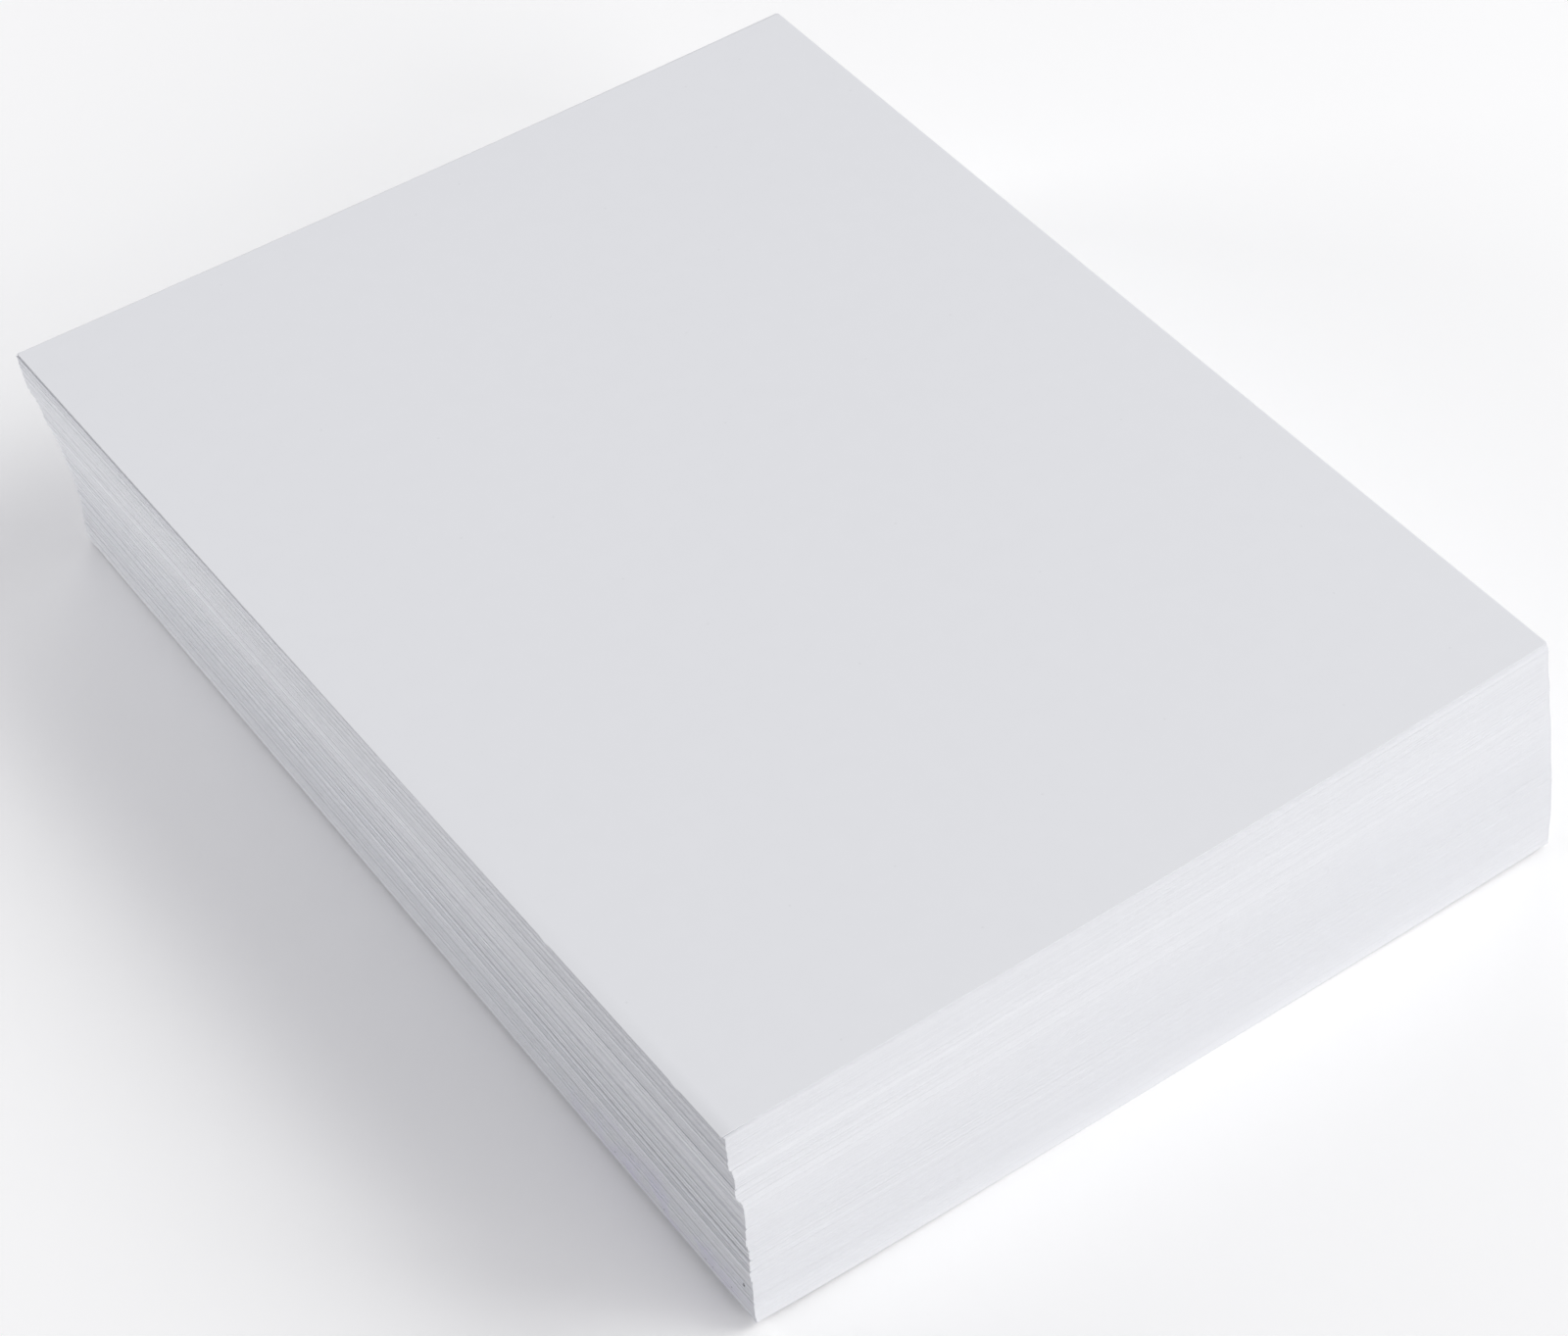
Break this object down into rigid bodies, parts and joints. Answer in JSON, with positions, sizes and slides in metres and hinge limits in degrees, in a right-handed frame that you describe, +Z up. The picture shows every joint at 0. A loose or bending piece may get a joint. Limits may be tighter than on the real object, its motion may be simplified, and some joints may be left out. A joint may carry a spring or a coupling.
{
  "type": "ream of paper",
  "caption": "Unwrapped ream of plain white letter-size paper: a pile of loose flat sheets that leans a little, so that its edges show as soft steps.",
  "frame": {"origin": "middle of the underside of the bottom sheet", "axes": "+Z up through the pile, +Y along the sheets' long side towards the far short end, +X across the sheets' width to the right"},
  "size_m": [0.2238, 0.2881, 0.0595],
  "materials": {
    "paper": "matt, uncoated, bright white with a faint blue cast, guillotine-cut edges"
  },
  "bodies": {
    "root": {"bottom_sheet": "paper", "lift_01": "paper", "lift_02": "paper", "lift_03": "paper", "lift_04": "paper", "lift_05": "paper", "lift_06": "paper", "lift_07": "paper", "lift_08": "paper", "lift_09": "paper", "lift_10": "paper", "lift_11": "paper", "lift_12": "paper", "lift_13": "paper", "lift_14": "paper", "lift_15": "paper", "lift_16": "paper", "lift_17": "paper", "lift_18": "paper", "lift_19": "paper", "lift_20": "paper", "lift_21": "paper", "lift_22": "paper", "lift_23": "paper", "lift_24": "paper", "lift_25": "paper", "lift_26": "paper", "lift_27": "paper", "top_sheet": "paper"}
  },
  "joints": []
}
